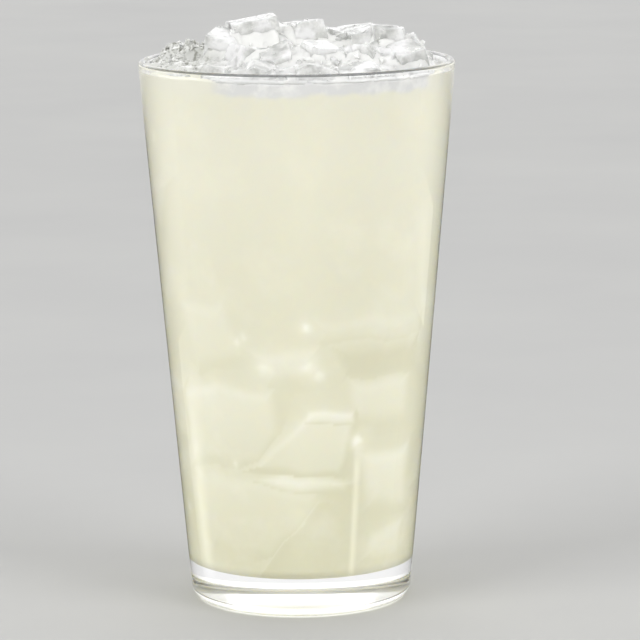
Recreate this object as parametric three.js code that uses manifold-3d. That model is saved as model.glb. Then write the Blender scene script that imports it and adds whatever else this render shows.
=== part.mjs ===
// A glass of iced lemonade: a tapered tumbler with a thick base, the cloudy drink in it,
// large pieces of ice heaped over the rim, and a bed of crushed ice between them.
// Millimetres, +Z up. The origin is the centre of the foot, on the surface it stands on.

import * as THREE from 'three';
import { ConvexGeometry } from 'three/addons/geometries/ConvexGeometry.js';
import { mergeVertices } from 'three/addons/utils/BufferGeometryUtils.js';
import Module from 'manifold-3d';

// Tumbler
const HEIGHT = 152;
const RIM_RADIUS = 44;
const FOOT_RADIUS = 30.75;
const FOOT_ROUNDING = 3.7;
const LIP_WALL = 2.4;
const BASE_WALL = 3.2;
const FLOOR_HEIGHT = 10.8;
const FLOOR_DISH = 0.8;
const FLOOR_CORNER = 3;
const RECESS_RADIUS = 21;
const RECESS_DEPTH = 1.6;
const RECESS_LEVEL = 0.8 * RECESS_RADIUS;
const SIDES = 60;
const ARC_STEPS = 3;

// Drink
const DRINK_LEVEL = 146;

// Clearance between neighbouring pieces
const GAP = 0.3;

// Broken ice: corners knocked off, what is kept of the reach there, and the tilt of the faces
const PIECE_CUTS = 7;
const FRAGMENT_CUTS = 2;
const LEAST_KEPT = 0.8;
const MOST_KEPT = 0.95;
const FACE_TILT = 0.1;

// Crushed ice: the bed that the large pieces stand in, and the fragments on it
const BED_TOP = 151.5;
const BED_EDGE = 148.6;
const MOUND = { at: [-27, 4, 146.6], size: [24, 36, 11] };
const MOUND_STEPS = 7;
const FRAGMENT_PLACES = 130;
const FRAGMENT_SMALLEST = 3;
const FRAGMENT_LARGEST = 5.5;
const FRAGMENT_SINK = 2.4;
const FRAGMENT_TRIM = 2.5;
const GOLDEN_ANGLE = Math.PI * (3 - Math.sqrt(5));

// Large pieces of ice: middle, size along their own edges, and turn in degrees about X, Y and Z
const ICE_PIECES = [
  { at: [-12, 4, 153.4], size: [17, 12, 18], turn: [5, -15, 10] },
  { at: [-20.6, -3, 152], size: [8, 11, 15], turn: [8, 10, -18] },
  { at: [3.5, 6, 152.9], size: [13, 12, 18], turn: [-6, -12, 12] },
  { at: [16.8, 8, 151.4], size: [12, 12, 17], turn: [8, -9, -16] },
  { at: [25.2, -3, 153.2], size: [7, 9, 17], turn: [-4, 0, 8] },
  { at: [30.8, 4, 149.6], size: [12, 11, 12], turn: [4, -33, 6] },
  { at: [5.3, -17, 151.5], size: [9, 9, 13], turn: [10, 8, 30] },
  { at: [17.8, -18, 150.3], size: [9, 9, 12], turn: [-15, 10, -25] },
  { at: [30, -14, 150.2], size: [10, 10, 13], turn: [14, -12, 30] },
  { at: [-4.6, -20, 150.3], size: [9, 9, 12], turn: [20, -14, 15] },
  { at: [-14, -17, 150.6], size: [9, 10, 12], turn: [-14, 18, 38] },
  { at: [-6, 23, 151.5], size: [14, 12, 12], turn: [-10, 8, 32] },
  { at: [10, 25, 151], size: [13, 12, 12], turn: [12, 10, -12] },
  { at: [25, 20, 149], size: [12, 12, 10], turn: [-12, -8, 28] },
  { at: [-20, 19, 149.5], size: [12, 12, 11], turn: [10, 12, -34] },
  { at: [-9, -31, 148.6], size: [11, 9, 9], turn: [12, 14, -8] },
  { at: [4, -32.5, 148.6], size: [11, 8, 9], turn: [-16, 8, 12] },
  { at: [17, -29.5, 148.4], size: [11, 9, 9], turn: [18, -10, 28] },
  { at: [-21.5, -25, 147.8], size: [10, 9, 8], turn: [-12, 16, -32] },
];

// Looks
const CLEAR_GLASS = { color: 0xf4f7f5, roughness: 0.04, opacity: 0.35 };
const CLOUDY_DRINK = { color: 0xe6e3cb, roughness: 0.25, opacity: 1 };
const WHITE_ICE = { color: 0xe4e7e2, roughness: 0.35, opacity: 0.9 };
const FROSTED_ICE = { color: 0xedf1ee, roughness: 0.25, opacity: 0.85 };

// Steps of the random numbers, and the smallest lengths and volumes that count
const RANDOM_FACTOR = 1664525;
const RANDOM_STEP = 1013904223;
const RANDOM_RANGE = 2 ** 32;
const ON_FACE = 1e-6;
const PARALLEL = 1e-4;

const UP = new THREE.Vector3(0, 0, 1);

const wasm = await Module();
wasm.setup();

// Slope of a line in the lathe profile, as its angle from the axis.
function slope(lower, upper) {
  return Math.atan2(upper.x - lower.x, upper.y - lower.y);
}

// Inside of the tumbler, seen in half section: where its straight wall starts and ends.
const outerFoot = new THREE.Vector2(FOOT_RADIUS, 0);
const outerRim = new THREE.Vector2(RIM_RADIUS, HEIGHT);
const outerSlope = slope(outerFoot, outerRim);
const floorRadius = FOOT_RADIUS + FLOOR_HEIGHT * Math.tan(outerSlope) - BASE_WALL;
const innerFloor = new THREE.Vector2(floorRadius, FLOOR_HEIGHT);
const innerRim = new THREE.Vector2(RIM_RADIUS - LIP_WALL, HEIGHT);
const innerSlope = slope(innerFloor, innerRim);

// Middle of an arc that touches a level line and, on its inner side, a sloping one.
function cornerMiddle(foot, angle, radius) {
  const shift = radius * Math.tan(angle) - radius / Math.cos(angle);
  return new THREE.Vector2(foot.x + shift, foot.y + radius);
}

// Half section of the space inside, drawn in from its wall by a gap and ended at a level.
function insideProfile(gap, level) {
  const foot = new THREE.Vector2(innerFloor.x - gap, innerFloor.y + gap);
  const corner = cornerMiddle(foot, innerSlope, FLOOR_CORNER);
  const path = new THREE.Path();
  path.moveTo(0, foot.y - FLOOR_DISH);
  path.quadraticCurveTo(corner.x / 2, foot.y - FLOOR_DISH, corner.x, foot.y);
  path.absarc(corner.x, corner.y, FLOOR_CORNER, -Math.PI / 2, -innerSlope, false);
  path.lineTo(foot.x + (level - foot.y) * Math.tan(innerSlope), level);
  path.lineTo(0, level);
  return path.getPoints(ARC_STEPS);
}

// Half section of the tumbler: recess, foot, outside wall, lip, and the inside back to the axis.
function glassProfile() {
  const foot = cornerMiddle(outerFoot, outerSlope, FOOT_ROUNDING);
  const lip = new THREE.Vector2(RIM_RADIUS - LIP_WALL / 2, HEIGHT - LIP_WALL / 2);
  const path = new THREE.Path();
  path.moveTo(0, RECESS_DEPTH);
  path.quadraticCurveTo(RECESS_LEVEL, RECESS_DEPTH, RECESS_RADIUS, 0);
  path.lineTo(foot.x, 0);
  path.absarc(foot.x, foot.y, FOOT_ROUNDING, -Math.PI / 2, -outerSlope, false);
  path.absarc(lip.x, lip.y, LIP_WALL / 2, -outerSlope, Math.PI - innerSlope, false);
  const outside = path.getPoints(ARC_STEPS);
  const inside = insideProfile(0, HEIGHT - LIP_WALL).slice(0, -2).reverse();
  return outside.concat(inside);
}

// Solid of revolution about +Z from a half section.
function revolved(profile) {
  return new THREE.LatheGeometry(profile, SIDES).rotateX(Math.PI / 2);
}

// Closed geometry as a solid that can be joined and cut.
function toSolid(geometry) {
  const bare = geometry.clone();
  bare.deleteAttribute('normal');
  bare.deleteAttribute('uv');
  const merged = mergeVertices(bare);
  const triangles = [];
  for (let i = 0; i < merged.index.count; i += 3) {
    const triangle = [0, 1, 2].map((corner) => merged.index.getX(i + corner));
    if (new Set(triangle).size === 3) triangles.push(...triangle);
  }
  const mesh = new wasm.Mesh({
    numProp: 3,
    vertProperties: new Float32Array(merged.attributes.position.array),
    triVerts: new Uint32Array(triangles),
  });
  return new wasm.Manifold(mesh);
}

// The largest body of a solid, without loose scraps or sealed hollows, as geometry.
function toGeometry(solid) {
  const bodies = solid.decompose().sort((a, b) => b.volume() - a.volume());
  const mesh = bodies[0].getMesh();
  const geometry = new THREE.BufferGeometry();
  geometry.setAttribute('position', new THREE.BufferAttribute(mesh.vertProperties, 3));
  geometry.setIndex(new THREE.BufferAttribute(mesh.triVerts, 1));
  geometry.computeVertexNormals();
  return geometry;
}

// Repeatable random numbers from 0 to 1.
function randomFrom(seed) {
  let state = seed;
  return () => {
    state = (state * RANDOM_FACTOR + RANDOM_STEP) % RANDOM_RANGE;
    return state / RANDOM_RANGE;
  };
}

// Faces of one broken piece of ice: a box with tilted faces and its corners knocked off.
function iceFaces({ at, size, turn }, cuts, random) {
  const middle = new THREE.Vector3(...at);
  const half = new THREE.Vector3(...size).divideScalar(2);
  const rotation = new THREE.Euler(...turn.map(THREE.MathUtils.degToRad));
  const spread = () => random() * 2 - 1;
  const faces = [];
  const addFace = (normal, kept) => {
    normal.normalize();
    const reach = Math.abs(normal.x) * half.x + Math.abs(normal.y) * half.y + Math.abs(normal.z) * half.z;
    const turned = normal.clone().applyEuler(rotation);
    faces.push(new THREE.Plane(turned, -turned.dot(middle) - reach * kept));
  };
  for (const axis of [0, 1, 2]) {
    for (const sign of [-1, 1]) {
      const normal = new THREE.Vector3(spread(), spread(), spread()).multiplyScalar(FACE_TILT);
      normal.setComponent(axis, sign);
      addFace(normal, 1 - FACE_TILT / 2);
    }
  }
  for (let i = 0; i < cuts; i += 1) {
    const normal = new THREE.Vector3(spread(), spread(), spread());
    addFace(normal, THREE.MathUtils.lerp(LEAST_KEPT, MOST_KEPT, random()));
  }
  return faces;
}

// Corners of the convex body behind a set of faces, each face moved out by a margin.
function cornersOf(faces, margin = 0) {
  const moved = faces.map((face) => new THREE.Plane(face.normal, face.constant - margin));
  const corners = [];
  for (let i = 0; i < moved.length; i += 1) {
    for (let j = i + 1; j < moved.length; j += 1) {
      for (let k = j + 1; k < moved.length; k += 1) {
        const point = meetingPoint(moved[i], moved[j], moved[k]);
        if (point && moved.every((face) => face.distanceToPoint(point) < ON_FACE)) corners.push(point);
      }
    }
  }
  return corners;
}

// Point where three planes meet, or null where two of them are nearly parallel.
function meetingPoint(a, b, c) {
  const bc = b.normal.clone().cross(c.normal);
  const ca = c.normal.clone().cross(a.normal);
  const ab = a.normal.clone().cross(b.normal);
  const volume = a.normal.dot(bc);
  if (Math.abs(volume) < PARALLEL) return null;
  const point = bc.multiplyScalar(a.constant);
  point.add(ca.multiplyScalar(b.constant));
  point.add(ab.multiplyScalar(c.constant));
  return point.divideScalar(-volume);
}

// Lowest and highest place of a set of corners along a direction.
function extent(corners, direction) {
  const places = corners.map((corner) => corner.dot(direction));
  return [Math.min(...places), Math.max(...places)];
}

// The direction in which two pieces overlap least, or in which they stand clear by the gap.
function leastOverlap(a, b) {
  const cornersA = cornersOf(a);
  const cornersB = cornersOf(b);
  const directions = a.map((face) => face.normal).concat(b.map((face) => face.normal.clone().negate()));
  let least = { overlap: Infinity };
  for (const direction of directions) {
    const [, endOfA] = extent(cornersA, direction);
    const [startOfB] = extent(cornersB, direction);
    const overlap = endOfA - startOfB + GAP;
    if (overlap < least.overlap) least = { overlap, direction, middle: (endOfA + startOfB) / 2 };
  }
  return least;
}

// Trims two pieces that overlap back to a shared flat gap.
function trimApart(a, b) {
  const { overlap, direction, middle } = leastOverlap(a, b);
  if (overlap <= 0) return;
  a.push(new THREE.Plane(direction.clone(), GAP / 2 - middle));
  b.push(new THREE.Plane(direction.clone().negate(), middle + GAP / 2));
}

// Faces of all the large pieces, trimmed so that none touches another.
function iceHeap() {
  const heap = ICE_PIECES.map((piece, index) => iceFaces(piece, PIECE_CUTS, randomFrom(index + 1)));
  for (let i = 0; i < heap.length; i += 1) {
    for (let j = i + 1; j < heap.length; j += 1) trimApart(heap[i], heap[j]);
  }
  return heap;
}

// Convex solid behind a set of faces.
function convexSolid(faces, margin) {
  return toSolid(new ConvexGeometry(cornersOf(faces, margin)));
}

// Height of the crushed ice at a place: a low dome with a mound at one side.
function bedHeight(x, y) {
  const outward = Math.hypot(x, y) / RIM_RADIUS;
  const dome = BED_TOP - (BED_TOP - BED_EDGE) * outward * outward;
  const [middleX, middleY, middleZ] = MOUND.at;
  const [lengthX, lengthY, lengthZ] = MOUND.size;
  const across = ((x - middleX) * 2) / lengthX;
  const along = ((y - middleY) * 2) / lengthY;
  const rise = Math.sqrt(Math.max(0, 1 - across * across - along * along)) * (lengthZ / 2);
  return Math.max(dome, middleZ + rise);
}

// Half section of the dome under the fragments, down to the drink.
function bedProfile() {
  const path = new THREE.Path();
  path.moveTo(0, DRINK_LEVEL + GAP);
  path.lineTo(RIM_RADIUS, DRINK_LEVEL + GAP);
  path.lineTo(RIM_RADIUS, BED_EDGE);
  path.quadraticCurveTo(RIM_RADIUS / 2, BED_TOP, 0, BED_TOP);
  return path.getPoints(ARC_STEPS);
}

// One fragment of the crushed ice, sunk a little into the bed at its place on an even spiral.
function fragmentFaces(place, random) {
  const radius = (innerRim.x - FRAGMENT_LARGEST / 2) * Math.sqrt((place + 0.5) / FRAGMENT_PLACES);
  const x = radius * Math.cos(place * GOLDEN_ANGLE);
  const y = radius * Math.sin(place * GOLDEN_ANGLE);
  const length = () => THREE.MathUtils.lerp(FRAGMENT_SMALLEST, FRAGMENT_LARGEST, random());
  const turn = () => random() * 360;
  const size = [length(), length(), length()];
  const faces = iceFaces({ at: [x, y, 0], size, turn: [turn(), turn(), turn()] }, FRAGMENT_CUTS, random);
  const [lowest] = extent(cornersOf(faces), UP);
  const seat = Math.max(bedHeight(x, y) - FRAGMENT_SINK, DRINK_LEVEL + GAP);
  faces.forEach((face) => face.translate(UP.clone().multiplyScalar(seat - lowest)));
  return faces;
}

// Whether a fragment is clear of every large piece, or only touches it.
function fits(faces, heap) {
  return heap.every((piece) => leastOverlap(faces, piece).overlap < FRAGMENT_TRIM);
}

// Crushed ice: a dome and a mound with fragments fused on, fitted to the wall and the large pieces.
function crushedIce(inside, heap, rooms) {
  const mound = new THREE.SphereGeometry(0.5, MOUND_STEPS * 2, MOUND_STEPS).rotateX(Math.PI / 2);
  mound.scale(...MOUND.size).translate(...MOUND.at);
  const below = toSolid(revolved(insideProfile(-GAP, DRINK_LEVEL + GAP)));
  let ice = toSolid(revolved(bedProfile())).add(toSolid(mound)).subtract(below);
  const random = randomFrom(FRAGMENT_PLACES);
  for (let place = 0; place < FRAGMENT_PLACES; place += 1) {
    const faces = fragmentFaces(place, random);
    if (fits(faces, heap)) ice = ice.add(convexSolid(faces));
  }
  ice = ice.intersect(inside);
  for (const room of rooms) ice = ice.subtract(room);
  return ice;
}

// Mesh with its own material, named as a sub-part.
function named(name, geometry, look) {
  const material = new THREE.MeshStandardMaterial({ ...look, metalness: 0, transparent: look.opacity < 1 });
  const mesh = new THREE.Mesh(geometry, material);
  mesh.name = name;
  return mesh;
}

// The glass with all that is in it.
function buildDrink() {
  const inside = toSolid(revolved(insideProfile(GAP, HEIGHT * 2)));
  const heap = iceHeap();
  const rooms = heap.map((faces) => convexSolid(faces, GAP));
  let drink = toSolid(revolved(insideProfile(GAP, DRINK_LEVEL)));
  for (const room of rooms) drink = drink.subtract(room);
  const group = new THREE.Group();
  group.add(named('glass', revolved(glassProfile()), CLEAR_GLASS));
  group.add(named('lemonade', toGeometry(drink), CLOUDY_DRINK));
  group.add(named('crushed_ice', toGeometry(crushedIce(inside, heap, rooms)), WHITE_ICE));
  heap.forEach((faces, index) => {
    const name = `ice_${String(index + 1).padStart(2, '0')}`;
    group.add(named(name, toGeometry(convexSolid(faces).intersect(inside)), FROSTED_ICE));
  });
  return group;
}

export default buildDrink();
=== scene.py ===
# A glass of iced lemonade in Blender: clear tumbler, cloudy drink, broken and crushed ice.
# Metres, in the frame of the solids: +Z up, origin at the centre of the foot.

import itertools
import math
import random

import bmesh
import bpy
import numpy as np
from mathutils import Matrix, Vector, noise
from mathutils.bvhtree import BVHTree


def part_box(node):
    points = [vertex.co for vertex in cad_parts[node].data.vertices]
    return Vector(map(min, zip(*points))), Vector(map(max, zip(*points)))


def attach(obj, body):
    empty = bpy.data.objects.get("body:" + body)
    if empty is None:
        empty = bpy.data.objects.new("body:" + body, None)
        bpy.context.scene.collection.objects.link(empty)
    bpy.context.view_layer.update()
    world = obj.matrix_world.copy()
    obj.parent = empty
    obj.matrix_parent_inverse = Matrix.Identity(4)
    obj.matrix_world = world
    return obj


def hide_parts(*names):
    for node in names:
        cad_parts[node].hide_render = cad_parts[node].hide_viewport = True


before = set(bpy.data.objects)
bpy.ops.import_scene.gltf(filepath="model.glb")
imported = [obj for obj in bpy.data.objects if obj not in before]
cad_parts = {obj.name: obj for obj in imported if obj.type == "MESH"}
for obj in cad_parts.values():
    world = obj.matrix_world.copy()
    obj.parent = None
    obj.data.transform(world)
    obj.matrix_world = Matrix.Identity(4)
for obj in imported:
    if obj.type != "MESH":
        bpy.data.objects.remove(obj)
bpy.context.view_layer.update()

# Seed of the noise that bends and tilts the ice, so that every run makes the same model
NOISE_SEED = 5

# Tumbler, as its solid is made
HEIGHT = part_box("glass")[1].z
RIM_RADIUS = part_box("glass")[1].x
FOOT_RADIUS = 0.03075
FOOT_ROUNDING = 0.0037
LIP_WALL = 0.0024
BASE_WALL = 0.0032
FLOOR_HEIGHT = 0.0108
FLOOR_DISH = 0.0008
FLOOR_CORNER = 0.003
RECESS_RADIUS = 0.021
RECESS_DEPTH = 0.0016
RECESS_LEVEL = 0.8 * RECESS_RADIUS
RIM_CAP = 0.0007
# Grey of the rim's cap: painted shade, a dark line in place of the shade seen down through the lip
RIM_SHADE_TINT = (0.12, 0.125, 0.125)
WORN_ROUGHNESS = 0.3
WORN_LEAN = -0.6
GLASS_SIDES = 192
GLASS_WAVE = 0.00003
GLASS_WAVE_LENGTH = 0.018
GLASS_IOR = 1.5
ARC_STEPS = 14
WALL_ROWS = 60

# Drink. It wets the ice at the wall, which shows through it as a grey band, except where the ice is
# soaked: the middle of each such stretch in degrees about the axis, and how far it reaches as cosines
DRINK_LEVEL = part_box("lemonade")[1].z
DRINK_INTO_WALL = 0.00006
EDGE_RIPPLE = 0.0006
EDGE_RIPPLES = 7.0
EDGE_SLICE = 0.3
WET_RISE = 0.0034
SOAK_RISE = 0.0009
SOAK_RIPPLE = 0.1
SOAK_RIPPLES = 9.0
SOAK_SLICE = 0.7
SOAKED = ({"middle": 200, "edges": (0.68, 0.88)}, {"middle": -8, "edges": (0.87, 0.99)})
MENISCUS_WIDTH = 0.007
MENISCUS_LEVEL = 0.4
BAND_DEPTH = 0.0016
BAND_RIPPLE = 0.0009
BAND_RIPPLE_LENGTHS = (0.006, 0.0025)
BLOTCH_EDGES = (0.1, 0.7)
BLOTCH_SHARE = 0.6
BAND_GREY = (0.725, 0.727, 0.722)
BAND_PALE = (0.835, 0.835, 0.82)
DRINK_LOW = (0.742, 0.731, 0.565)
DRINK_HIGH = (0.811, 0.80, 0.69)
DRINK_CLOUD = (0.855, 0.845, 0.735)
DRINK_SHADE = (0.633, 0.614, 0.44)
DRINK_LIGHT = (0.95, 0.945, 0.87)
DRINK_COLOUR_HEIGHTS = (0.01, 0.13)
DRINK_IOR = 1.33
DRINK_SCATTER = 0.004
DRINK_SIDES = 400
DRINK_ROWS = 200

# Faces of ice sunk behind the wall, painted into the drink as paler ice with painted light and shade:
# corners as degrees right of the front and millimetres up, depth behind the wall in millimetres, and how
# pale the face looks
SUNK_FRONT = (
    {"depth": 1.3, "tone": 0.8,
     "corners": ((-64, 62), (-42, 66), (-13, 64), (-12, 53), (-19, 45), (-62, 43))},
    {"depth": 0.4, "tone": 0.55, "corners": ((-21, 43), (3, 58), (25, 56), (20, 41))},
    {"depth": 0.1, "tone": 1.0,
     "corners": ((2, 56), (4, 59), (12, 58.6), (25, 57.6), (25, 55), (12, 55.6))},
    {"depth": 0.6, "tone": 1.1, "corners": ((2, 43), (8, 46), (17, 45), (19, 42))},
    {"depth": 1.0, "tone": 1.4,
     "corners": ((-22, 38.5), (-8, 41), (6, 40.5), (24, 37), (22, 35.8), (0, 36.3))},
    {"depth": 1.2, "tone": 0.4, "corners": ((-16, 16), (9, 33), (10, 32))},
    {"depth": 1.8, "tone": 1.1, "corners": ((24, 66), (58, 66), (58, 55), (26, 56))},
    {"depth": 1.8, "tone": 1.4, "corners": ((31, 46), (62, 46), (64, 29), (36, 31))},
    {"depth": 1.4, "tone": 0.65,
     "corners": ((-58, 39), (-22, 39), (7, 35), (9, 32), (-15, 18), (-50, 20))},
    {"depth": 1.8, "tone": 1.1, "corners": ((40, 23), (62, 24), (62, 15), (36, 16))},
    {"depth": 1.4, "tone": -0.7, "corners": ((16, 76.5), (64, 77), (63, 69), (22, 69))},
    {"depth": 1.5, "tone": 0.35, "corners": ((8, 84), (66, 84), (66, 78), (10, 79))},
    {"depth": 2.0, "tone": 0.7, "corners": ((-60, 86), (-34, 88), (-26, 74), (-50, 70))},
    {"depth": 1.4, "tone": 0.5, "corners": ((-20, 75), (8, 76), (12, 69), (-14, 67))},
)

# Sunk faces away from the front, in the same units: seeded draws between these limits
SUNK_SEED = 3
SUNK_COUNT = 24
SUNK_SIDES = (75, 285)
SUNK_HEIGHTS = (18, 126)
SUNK_HALF_WIDTH = 17
SUNK_HALF_HEIGHT = 8
SUNK_SCALES = (0.8, 1.7)
SUNK_TILT = 25
SUNK_CORNER_TURN = 14
SUNK_CORNER_REACH = (0.8, 1.15)
SUNK_DEPTHS = (0.6, 2.2)
SUNK_TONES = (0.25, 0.7)
GOLDEN_SHARE = 0.618

# How sunk faces show: the depth over which the drink hides them, how steeply they fall away outside
# their edges, the painted light and shade of those slopes as their edges' inward normals point right and
# up, how much paler a face is painted towards its top, the painted highlight line inside an edge, the
# blur, and how outlines bend
SUNK_FADE = 0.0022
SUNK_BEVEL = 1.1
SLOPE_LIGHT_AND_SHADE = (0.35, -0.6)
SUNK_LEAN = 0.35
SUNK_LEAN_HEIGHT = 0.008
SUNK_LINE = 0.0006
SUNK_HIGHLIGHT_TONE = 0.5
SUNK_BLUR = 0.0009
SUNK_BLUR_GROWTH = 1.1
SUNK_WOBBLE = 0.0013
SUNK_WOBBLE_LENGTH = 0.008
SUNK_LIMITS = (-1.0, 1.6)

# Bubbles behind the wall, shown only as painted highlights, soft bright specks: degrees right of the
# front, millimetres up, radius in millimetres, and how bright the speck looks
SPECKS_FRONT = (
    (3, 82.5, 1.0, 1.6),
    (-33, 43.5, 0.9, 1.0),
    (-28, 78, 1.0, 1.0),
    (-25, 79.5, 0.7, 1.0),
    (-16, 71, 1.8, 0.9),
    (4, 71.5, 1.6, 1.0),
    (9, 69, 1.3, 1.0),
    (28, 49.8, 1.3, 1.8),
)
SPECK_SEED = 11
SPECK_COUNT = 14
SPECK_SIDES = (70, 290)
SPECK_LOWEST = FLOOR_HEIGHT + 0.012
SPECK_SPREAD = 0.11
SPECK_SIZES = (0.0004, 0.0009)
SPECK_CORE = 0.7
SPECK_HALO = 0.35
SPECK_HALO_SIZE = 2.6
SPECK_WOBBLE = 0.0008
SPECK_WOBBLE_LENGTH = 0.0018

# Broken ice: its solids, and how melting and breaking leave them
ICE_NODES = sorted(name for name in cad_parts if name.startswith("ice_"))
OUTLINE_ICE = ICE_NODES[:6]
ICE_BEVEL = 0.0003
ICE_VOXEL = 0.0003
ICE_WELD = 1e-6
ICE_FLAT_ANGLE = 0.02
CHIPPED_FACES = 9
OUTLINE_KEPT = (0.95, 0.99)
INNER_KEPT = (0.85, 0.96)
HOLLOW_DEPTH, HOLLOW_LENGTH = 0.00018, 0.006
RIPPLE_DEPTH, RIPPLE_LENGTH = 0.00012, 0.0022
GRAIN_DEPTH, GRAIN_LENGTH = 0.00008, 0.0008
ICE_CLEAR = (0.865, 0.873, 0.852)
ICE_WHITE = (0.945, 0.948, 0.927)
# Colour of the ice's sharp edges: a painted highlight
ICE_EDGE_HIGHLIGHT = (0.98, 0.98, 0.96)
ICE_IOR = 1.31
ICE_SCATTER = 0.001

# Crushed ice: packed between the pieces by a grid of the heap's heights, with spans counted in cells,
# and shards and chips over it, with halves and stretches as shares of their sizes
HEAP_STEP = 0.001
HEAP_SEEN_FROM = 1.0
HEAP_SPAN = 11
SMOOTH_SPAN = 3
CEILING_SPAN = 5
PACKED_BELOW = 0.0016
PACKED_UNDERSIDE = DRINK_LEVEL - 0.002
PACKED_EDGE = 0.1503
PACKED_EDGE_RADIUS = 0.0375
PACKED_EDGE_WIDTH = 0.003
PACKED_INTO_WALL = 1.5 * DRINK_INTO_WALL
PACKED_GRAIN = 0.0003
PACKED_ROUGHNESS = 0.0002
PACKED_ROUGHNESS_LENGTH = 0.0009
PACKED_SIDES = 420
PACKED_RINGS = 90
PACKED_WALL_ROWS = 14
FACE_SIZE = 0.0036
FACE_RISE = 0.001
FACE_TILT = 1.6
FACE_LIFT = 0.7
FACE_SPREAD = 7.3
FACE_SHARE_AT_WALL = 0.3
MOUNDS = (
    {"middle": Vector((-0.031, 0.008)), "radius": 0.015, "rise": 0.002},
    {"middle": Vector((0.035, 0.003)), "radius": 0.008, "rise": 0.002},
)
GRANULAR = MOUNDS[0]
GRANULAR_RIGHT = -0.021
CRUSHED_DRY = (0.89, 0.893, 0.872)
CRUSHED_SOAKED = (0.735, 0.74, 0.71)
# Dark of the small pits in the soaked ice: painted shade
PIT_SHADE_COLOUR = (0.30, 0.30, 0.26)
DRY_HEIGHTS = (0.1533, 0.1568)
DRY_PATCHES = 0.006
SOAKED_FROM_X = (-0.019, -0.026)
CRUSHED_SCATTER = 0.0006
SHARD_SEED = 5
SHARD_COUNT = 80
SHARD_SIZES = (0.0045, 0.0085)
SHARD_HALVES = ((0.4, 0.6), (0.35, 0.5), (0.25, 0.4))
SHARD_CORNER_REACH = (0.6, 1.0)
SHARD_VOXEL = 0.0004
CHIP_SEED = 7
BED_CHIPS = 500
MOUND_CHIPS = 320
EDGE_CHIPS = 40
CHIP_SIZES = (0.001, 0.0028)
CHIP_SHAPES = 16
CHIP_CORNERS = 11
CHIP_STRETCH = ((0.7, 1.2), (0.7, 1.2), (0.45, 0.9))

# Studio: floor with a painted glow of light gathered under the foot, surround, and cards and strips for
# the reflections
FLOOR_LEVEL = -0.0001
FLOOR_HALF_SIDE = 8.0
FLOOR_DARK = (0.54, 0.54, 0.535)
FLOOR_PALE = (0.57, 0.57, 0.56)
FLOOR_GLOW = 0.6
GATHERED_RADII = (0.026, 0.0295)
GATHERED_COLOUR = (1.0, 1.0, 0.98, 1.0)
SURROUND = (0.54, 0.54, 0.54)
SURROUND_BEHIND = (1.2, 1.2, 1.2)
LIGHTS_AIM = (0.0, 0.0, 0.09)
CARD_HEIGHT = 0.0004
STRIP_HEIGHT = 0.0006
STRIP_RADIUS = 0.037
STRIP_LINES = 16
STRIP_ROWS = 24
BACK_CARD_HALF_WIDTH = 0.7
BACK_CARD_NEAR = 0.034
BACK_CARD_FAR = 2.5
BACK_CARD_GLOW = 0.95

# Camera, fitted to the photograph's 640 x 640 frame
CAMERA_AT = Vector((0.0, -1.0475, 0.2555))
CAMERA_AIM = Vector((0.005915, 0.0, 0.07844))
CAMERA_ROLL = -0.0079
FOCAL_PIXELS = 3786.4
FRAME_PIXELS = 640
SENSOR_WIDTH = 36.0
CAMERA_NEAREST = 0.05


# Wall lines of the tumbler in half section

OUTER_SLOPE = math.atan2(RIM_RADIUS - FOOT_RADIUS, HEIGHT)
FLOOR_RADIUS = FOOT_RADIUS + FLOOR_HEIGHT * math.tan(OUTER_SLOPE) - BASE_WALL
INNER_RIM_RADIUS = RIM_RADIUS - LIP_WALL
INNER_SLOPE = math.atan2(INNER_RIM_RADIUS - FLOOR_RADIUS, HEIGHT - FLOOR_HEIGHT)


def inner_radius(z):
    """Radius of the inside wall at a height."""
    return FLOOR_RADIUS + (z - FLOOR_HEIGHT) * math.tan(INNER_SLOPE)


def arc(middle, radius, start, end, steps=ARC_STEPS):
    """Points of an arc, angles in radians."""
    angles = np.linspace(start, end, steps + 1)
    return [(middle[0] + radius * math.cos(a), middle[1] + radius * math.sin(a)) for a in angles]


def straight(start, end, steps):
    """Points inside a straight stretch, without its ends."""
    shares = np.linspace(0.0, 1.0, steps + 1)[1:-1]
    return [(start[0] + (end[0] - start[0]) * s, start[1] + (end[1] - start[1]) * s) for s in shares]


def corner_middle(radius, height, slope, rounding):
    """Middle of an arc that touches a level line and a sloping wall outside it."""
    return radius + rounding * math.tan(slope) - rounding / math.cos(slope), height + rounding


def inside_profile(grow, top, rows):
    """Half section of the inside, moved out by a small length and ended at a height."""
    radius = FLOOR_RADIUS + grow
    height = FLOOR_HEIGHT - grow
    corner = corner_middle(radius, height, INNER_SLOPE, FLOOR_CORNER)
    shares = np.linspace(0.0, 1.0, ARC_STEPS)
    dish = [(corner[0] * s, height - FLOOR_DISH * (1.0 - s * s)) for s in shares[:-1]]
    bend = arc(corner, FLOOR_CORNER, -math.pi / 2, -INNER_SLOPE)
    end = (inner_radius(top) + grow, top)
    return dish + bend + straight(bend[-1], end, rows) + [end]


def glass_profile():
    """Half section of the tumbler, from the middle of the recess round to the middle of the floor."""
    foot = corner_middle(FOOT_RADIUS, 0.0, OUTER_SLOPE, FOOT_ROUNDING)
    lip = (RIM_RADIUS - LIP_WALL / 2, HEIGHT - LIP_WALL / 2)
    shares = np.linspace(0.0, 1.0, ARC_STEPS)
    recess = []
    for s in shares:
        radius = 2 * s * (1 - s) * RECESS_LEVEL + s * s * RECESS_RADIUS
        recess.append((radius, RECESS_DEPTH * (1 - s * s)))
    edge = arc(foot, FOOT_ROUNDING, -math.pi / 2, -OUTER_SLOPE)
    rim = arc(lip, LIP_WALL / 2, -OUTER_SLOPE, math.pi - INNER_SLOPE, 2 * ARC_STEPS)
    inside = inside_profile(0.0, HEIGHT - LIP_WALL, WALL_ROWS)[:-1]
    return recess + edge + straight(edge[-1], rim[0], WALL_ROWS) + rim + inside[::-1]


# Mesh helpers

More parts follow.
